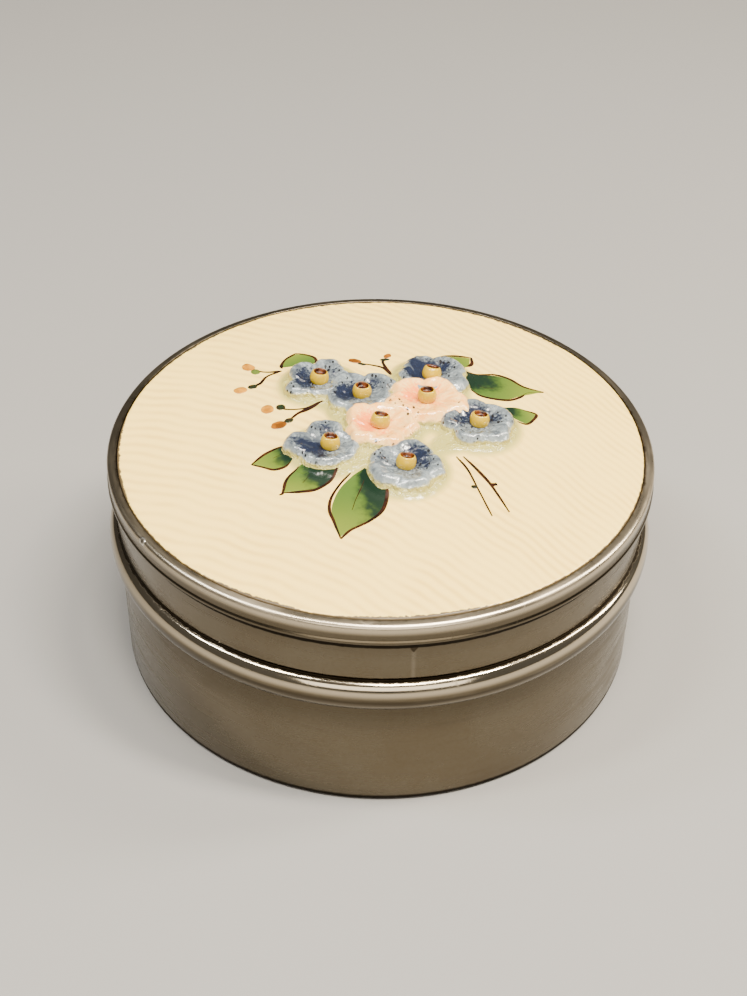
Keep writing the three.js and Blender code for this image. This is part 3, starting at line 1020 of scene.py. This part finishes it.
class TABLEBOX_OT_flowers(bpy.types.Operator):
    """Makes the eight flowers, each of five cupped petals fused in the kiln"""

    bl_idname = "tablebox.flowers"
    bl_label = "Flowers"

    def execute(self, context):
        blue = settings().blue
        pink = settings().pink
        finishes = {
            "blue": petal_finish("blue petals", rgba(blue), (0.010, 0.0145, 0.032, 1.0),
                                 (0.245, 0.288, 0.30, 1.0), 0.55),
            "pink": petal_finish("pink petals", rgba(pink), (0.95, 0.23, 0.04, 1.0),
                                 (0.97, 0.62, 0.22, 1.0), 0.3),
        }
        blank = self.blank()
        for name, (turn, size, lift, reaches) in FLOWERS.items():
            finish = finishes[name.split("_")[0]]
            self.flower(name, math.radians(turn), size, lift * MM, reaches, blank, finish)
        bpy.data.meshes.remove(blank)
        return {"FINISHED"}

    def blank(self):
        """A flat closed disc of radius 1 with fine rings, which each flower is shaped from."""
        rings = 58
        profile = [(0, -1.0), (0.5, -1.0), (1.0, -1.0), (1.0, 0)]
        profile += [(1 - step / rings, 0) for step in range(1, rings + 1)]
        bm = spun(profile, 168)
        mesh = bpy.data.meshes.new("blank")
        bm.to_mesh(mesh)
        bm.free()
        return mesh

    def flower(self, name, turn, size, lift, reaches, blank, finish):
        place = PLACES[name]
        edge_top = ENAMEL_HIGH[2] - settings().enamel_rise
        radius = FLOWER_RADIUS * size
        edge = radius * max(reaches) + SKIRT
        petals = self.petals(name, turn, radius, reaches)
        seed = random.Random(name).uniform(0, 50)
        bm = bmesh.new()
        bm.from_mesh(blank)
        layers = {key: bm.verts.layers.float.new(key) for key in
                  ("reach", "dark", "specky", "turn_x", "turn_y", "out")}
        for vert in bm.verts:
            x, y = vert.co.x * edge, vert.co.y * edge
            out = math.hypot(x, y)
            floor = edge_top + dome(math.hypot(place.x + x, place.y + y))
            pool = glaze_depth(place.x + x, place.y + y)
            slow = Vector((x, y, 0)) / MM * 0.33
            quick = Vector((x, y, 0)) / MM * 0.95
            shift = Vector((0, 0, seed))
            bent_x = x + (0.6 * noise.noise(slow + shift) + 0.22 * noise.noise(quick + shift)) * MM
            bent_y = y + (0.6 * noise.noise(slow - shift) + 0.22 * noise.noise(quick - shift)) * MM
            top, reach = self.petal_top(bent_x, bent_y, out, radius, petals, lift)
            top += 0.09 * MM * noise.noise(Vector((x / MM * 0.8, y / MM * 0.8, seed)))
            top += 0.04 * MM * noise.noise(Vector((x / MM * 2.4, y / MM * 2.4, seed)))
            bare = 1 - soft_step((top - pool + 0.1 * MM) / (1.05 * MM))
            bare *= soft_step((out - radius * 0.6) / (radius * 0.2))
            level = melted(top, pool - 0.03 * MM, 0.9 * MM)
            level -= 0.25 * MM * soft_step((out - edge + 0.6 * MM) / (0.6 * MM))
            if vert.co.z < -0.5:
                level = -SUNK
            vert[layers["reach"]] = reach + (OFF_PETAL - reach) * bare
            heart = (0.5 if name.startswith("blue") else 0.22) * math.exp(-(out / (3.1 * MM)) ** 2)
            vert[layers["dark"]] = self.dabbed(x, y, DABS[name]) + heart
            vert[layers["specky"]] = self.dabbed(x, y, [spot + (1.0,) for spot in SPECKS[name]])
            vert[layers["turn_x"]] = x / max(out, 0.01 * MM)
            vert[layers["turn_y"]] = y / max(out, 0.01 * MM)
            vert[layers["out"]] = out / MM * 0.3 + seed
            vert.co = Vector((place.x + x, place.y + y, floor + level))
        smooth_shaded(bm, NO_EDGE)
        finished("petals_" + name, bm, finish, name.split("_")[0] + "_enamel", "flower_" + name)

    def petals(self, name, turn, radius, reaches):
        """For each petal: its direction, middle, half length, half width, level and lean."""
        chance = random.Random(name + " petals")
        made = []
        for index, reach in enumerate(reaches):
            angle = turn + index * math.tau / 5
            middle = radius * 0.52 * reach
            width = radius * 0.57 * chance.uniform(0.92, 1.08)
            level = chance.uniform(-0.14, 0.12) * MM
            lean = chance.uniform(0.10, 0.24) * MM
            length = radius * reach - middle
            made.append((math.cos(angle), math.sin(angle), middle, length, width, level, lean))
        return made

    def petal_top(self, x, y, out, radius, petals, lift):
        """Height of the petals over the dome at a place, and how far out on a petal that is."""
        crest = settings().petal_height
        low = HEART_HEIGHT
        height = low + lift if out < HEART_RADIUS else -1.5 * MM
        reach = 0.0 if out < HEART_RADIUS else OFF_PETAL
        bowl = low + (crest - low) * 0.86 * soft_step((out - 1.2 * MM) / (radius * 0.62))
        for cosine, sine, middle, length, width, level, lean in petals:
            along = (x * cosine + y * sine - middle) / length
            aside = (y * cosine - x * sine) / width
            share = math.hypot(along, aside)
            if share >= 1:
                continue
            shoulder = math.sqrt(1 - (max(share - 0.32, 0) / 0.68) ** 2.1)
            curl = 0.34 * MM * soft_step((share - 0.3) / 0.4)
            top = (bowl + curl + level + lean * aside + lift) * shoulder
            if top > height:
                reach = share * soft_step((out - radius * 0.25) / (radius * 0.35))
            height = melted(top, height, 0.35 * MM)
        return height, reach

    def dabbed(self, x, y, dabs):
        """How strongly the dabs colour a place."""
        total = 0.0
        for direction, distance, size, strength in dabs:
            angle = math.radians(direction)
            off_x = x / MM - distance * math.cos(angle)
            off_y = y / MM - distance * math.sin(angle)
            total += strength * math.exp(-(off_x ** 2 + off_y ** 2) / size ** 2)
        return total


class TABLEBOX_OT_beads(bpy.types.Operator):
    """Makes the yellow bead with its brown hollow in each flower"""

    bl_idname = "tablebox.beads"
    bl_label = "Beads"

    def execute(self, context):
        finish = bead_finish()
        for name, (lean, direction) in BEAD_LEANS.items():
            self.bead(name, math.radians(lean), math.radians(direction), finish)
        return {"FINISHED"}

    def bead(self, name, lean, direction, finish):
        low, high = BEADS[name]
        radius = (high[0] - low[0]) / 2
        height = high[2] - low[2]
        outline = ((0.0, 0.0), (0.70, 0.02), (0.92, 0.16), (1.0, 0.42), (0.97, 0.66), (0.86, 0.88),
                   (0.71, 1.0), (0.59, 0.95), (0.49, 0.76), (0.27, 0.68), (0.0, 0.66))
        profile = [(max(point.x, 0) / MM * radius, point.y / MM * height) for point in through(outline, 40)]
        bm = spun(profile, 40)
        chance = random.Random("bead " + name)
        shift = Vector((chance.random(), chance.random(), chance.random())) * 40
        heights = bm.verts.layers.float.new("up")
        hollows = bm.verts.layers.float.new("hollow")
        for vert in bm.verts:
            out = math.hypot(vert.co.x, vert.co.y) / radius
            up = vert.co.z / height
            vert[heights] = up
            vert[hollows] = soft_step((0.76 - out) / 0.14) * soft_step((up - 0.5) / 0.1)
            wobble = noise.noise(vert.co / MM * 0.7 + shift) * 0.10 * MM
            vert.co += vert.co.normalized() * wobble
        axis = Vector((-math.sin(direction), math.cos(direction), 0))
        bmesh.ops.rotate(bm, verts=bm.verts, cent=(0, 0, height * 0.3), matrix=Matrix.Rotation(lean, 3, axis))
        place = PLACES[name]
        bmesh.ops.translate(bm, verts=bm.verts, vec=(place.x, place.y, low[2]))
        bmesh.ops.recalc_face_normals(bm, faces=bm.faces)
        smooth_shaded(bm, NO_EDGE)
        finished("bead_" + name, bm, finish, "yellow_enamel", "centre_" + name)


class TABLEBOX_OT_painting(bpy.types.Operator):
    """Paints the leaves, stems, outlines and buds on the enamel"""

    bl_idname = "tablebox.painting"
    bl_label = "Painted leaves and buds"

    def execute(self, context):
        leaf_paint = leaf_finish()
        for name, (left, right, (dark, lean)) in LEAVES.items():
            self.leaf(name, left, right, dark, lean, leaf_paint)
        self.lines(paint_finish("brown line", (0.010, 0.004, 0.002), (0.035, 0.010, 0.003), 900.0))
        orange = (
            paint_finish("pale orange bud", (0.52, 0.22, 0.012), (0.30, 0.11, 0.004), 800.0),
            paint_finish("deep orange bud", (0.27, 0.085, 0.002), (0.11, 0.034, 0.002), 800.0),
        )
        green = (
            paint_finish("light calyx", (0.09, 0.13, 0.02), (0.03, 0.06, 0.012), 1200.0),
            paint_finish("dark calyx", (0.008, 0.020, 0.007), (0.02, 0.012, 0.004), 1200.0),
        )
        for kind, blobs, height, paints in (("bud", BUDS, 0.14, orange), ("calyx", CALYXES, 0.1, green)):
            for index, (place, length, width, angle, depth) in enumerate(blobs, 1):
                name = "%s_%d" % (kind, index)
                self.blob(name, place, length, width, angle, height * MM, paints[depth > 0.5])
        return {"FINISHED"}

    def leaf(self, name, left, right, dark, lean, finish):
        """A leaf as a thin skin of paint that follows the enamel, between its two edges."""
        rows = 44
        columns = 14
        left_line = through(left, rows)
        right_line = through(right, rows)
        bm = bmesh.new()
        bmesh.ops.create_grid(bm, x_segments=rows, y_segments=columns, size=1)
        layers = {key: bm.verts.layers.float.new(key) for key in ("along", "across", "dark", "wet")}
        for vert in bm.verts:
            along = (vert.co.x + 1) / 2
            across = vert.co.y
            row = round(along * rows)
            place = left_line[row].lerp(right_line[row], (across + 1) / 2)
            vert[layers["along"]] = along
            vert[layers["across"]] = across
            vert[layers["dark"]] = dark + lean * across - along
            vert[layers["wet"]] = glaze(place.x, place.y)
            edge = soft_step((1 - abs(across)) * 4) * 0.03 * MM
            vert.co = Vector((place.x, place.y, surface(place.x, place.y) + 0.02 * MM + edge))
        self.thicken(bm)
        finished(name, bm, finish, "cream_enamel")

    def thicken(self, bm):
        """Sinks a copy of the painted skin below the enamel, so that the paint is one closed body."""
        bmesh.ops.remove_doubles(bm, verts=bm.verts, dist=0.005 * MM)
        top_faces = list(bm.faces)
        extruded = bmesh.ops.extrude_face_region(bm, geom=top_faces)["geom"]
        lower = [item for item in extruded if isinstance(item, bmesh.types.BMVert)]
        bmesh.ops.translate(bm, verts=lower, vec=(0, 0, -PAINT_DEPTH))
        bmesh.ops.recalc_face_normals(bm, faces=bm.faces)
        smooth_shaded(bm, 50)

    def lines(self, finish):
        """All brush lines: stems, outlines and veins, each thinner at its ends."""
        bm = bmesh.new()
        for width, points in LINES:
            self.stroke(bm, width * BRUSH_SPREAD * MM, points)
        self.thicken(bm)
        finished("painted_lines", bm, finish, "cream_enamel")

    def stroke(self, bm, width, points):
        steps = 10 * len(points)
        line = through(points, steps)
        grid = bmesh.ops.create_grid(bm, x_segments=steps, y_segments=2, size=1)["verts"]
        for vert in grid:
            along = (vert.co.x + 1) / 2
            row = round(along * steps)
            ahead = line[min(row + 1, steps)] - line[max(row - 1, 0)]
            aside = Vector((-ahead.y, ahead.x)).normalized()
            taper = 0.6 + 0.4 * soft_step(min(along, 1 - along) * 6)
            swell = 1 + 0.18 * math.sin(along * 7 + width / MM * 40)
            place = line[row] + aside * vert.co.y * width / 2 * taper * swell
            crown = (0.055 if abs(vert.co.y) < 0.5 else 0.03) * MM
            vert.co = Vector((place.x, place.y, surface(place.x, place.y) + crown))

    def blob(self, name, place, length, width, angle, height, finish):
        """A low rounded dab of paint."""
        x, y = place[0] * MM, place[1] * MM
        turn = Matrix.Rotation(math.radians(angle), 3, "Z")
        bm = bmesh.new()
        bmesh.ops.create_uvsphere(bm, u_segments=28, v_segments=14, radius=1)
        for vert in bm.verts:
            ragged = 1 + 0.12 * noise.noise(Vector((vert.co.x * 1.6 + x / MM, vert.co.y * 1.6, y / MM)))
            flat = turn @ Vector((vert.co.x * length * MM, vert.co.y * width * MM, 0)) * ragged
            level = surface(x + flat.x, y + flat.y)
            vert.co = Vector((x + flat.x, y + flat.y, level + vert.co.z * height))
        smooth_shaded(bm, NO_EDGE)
        finished(name, bm, finish, "cream_enamel")


# Stage


class TABLEBOX_OT_stage(bpy.types.Operator):
    """Sets the floor, the studio lights and the camera"""

    bl_idname = "tablebox.stage"
    bl_label = "Stage"

    def execute(self, context):
        self.floor()
        self.camera(context.scene)
        self.surroundings(context.scene)
        for name, place, size, power, colour in LIGHTS:
            self.light(name, place, size, power, colour)
        return {"FINISHED"}

    def floor(self):
        made, shader, place = material("pale floor")
        colour = settings().floor
        fill(shader, {
            "Base Color": blended(spotted(place, 9.0, 3.0), rgba(colour), rgba(colour, 0.95)),
            "Roughness": 0.7,
            "Normal": bump(spotted(place, 700.0, 3.0), 0.05, 0.2 * MM),
        })
        bm = bmesh.new()
        bmesh.ops.create_grid(bm, x_segments=2, y_segments=2, size=3.0)
        mesh = bpy.data.meshes.new("floor")
        bm.to_mesh(mesh)
        bm.free()
        mesh.materials.append(made)
        floor = bpy.data.objects.new("floor", mesh)
        bpy.context.scene.collection.objects.link(floor)

    def camera(self, scene):
        """Looks down at the box from in front, as the reference does."""
        pitch = math.radians(38.69)
        roll = math.radians(1.03)
        distance = 249.5 * MM
        aside = -0.94 * MM
        above = 17.8 * MM
        across = Vector((1, 0, 0))
        ahead = Vector((0, math.cos(pitch), -math.sin(pitch)))
        upward = Vector((0, math.sin(pitch), math.cos(pitch)))
        data = bpy.data.cameras.new("camera")
        data.sensor_width = 36.0
        data.lens = 56.86
        data.clip_start = 0.01
        camera = bpy.data.objects.new("camera", data)
        right = across * math.cos(roll) + upward * math.sin(roll)
        top = upward * math.cos(roll) - across * math.sin(roll)
        turn = Matrix((right, top, -ahead)).transposed().to_4x4()
        place = across * aside + upward * above - ahead * distance
        camera.matrix_world = Matrix.Translation(place) @ turn
        scene.collection.objects.link(camera)
        scene.camera = camera

    def surroundings(self, scene):
        world = bpy.data.worlds.new("room")
        world.use_nodes = True
        fill(world.node_tree.nodes["Background"], {"Color": (0.95, 0.90, 0.82, 1.0), "Strength": 0.16})
        scene.world = world

    def light(self, name, place, size, power, colour):
        data = bpy.data.lights.new(name, "AREA")
        data.shape = "RECTANGLE"
        data.size, data.size_y = size
        data.energy = power
        data.color = colour
        lamp = bpy.data.objects.new(name, data)
        lamp.location = place
        lamp.rotation_euler = Vector(place).to_track_quat("Z", "Y").to_euler()
        bpy.context.scene.collection.objects.link(lamp)


class TABLEBOX_PT_panel(bpy.types.Panel):
    """Lists the box's pieces and its sizes"""

    bl_idname = "TABLEBOX_PT_panel"
    bl_label = "Table Box"
    bl_space_type = "VIEW_3D"
    bl_region_type = "UI"
    bl_category = "Table Box"

    def draw(self, context):
        column = self.layout.column(align=True)
        for operator in OPERATORS:
            column.operator(operator.bl_idname)
        column.separator()
        for name in TableBoxSettings.__annotations__:
            column.prop(context.scene.table_box, name)


OPERATORS = (
    TABLEBOX_OT_stage,
    TABLEBOX_OT_drum,
    TABLEBOX_OT_moulding,
    TABLEBOX_OT_lid,
    TABLEBOX_OT_enamel,
    TABLEBOX_OT_flowers,
    TABLEBOX_OT_beads,
    TABLEBOX_OT_painting,
)
CLASSES = (TableBoxSettings,) + OPERATORS + (TABLEBOX_PT_panel,)


def register():
    for cls in CLASSES:
        bpy.utils.register_class(cls)
    bpy.types.Scene.table_box = PointerProperty(type=TableBoxSettings)


def unregister():
    del bpy.types.Scene.table_box
    for cls in reversed(CLASSES):
        bpy.utils.unregister_class(cls)


def main():
    register()
    for make_group in (polar_group, polish_group, crease_group, handling_group, mottle_group):
        make_group()
    bpy.ops.tablebox.stage()
    bpy.ops.tablebox.drum()
    bpy.ops.tablebox.moulding()
    bpy.ops.tablebox.lid()
    bpy.ops.tablebox.enamel()
    bpy.ops.tablebox.flowers()
    bpy.ops.tablebox.beads()
    bpy.ops.tablebox.painting()


if __name__ == "__main__":
    main()
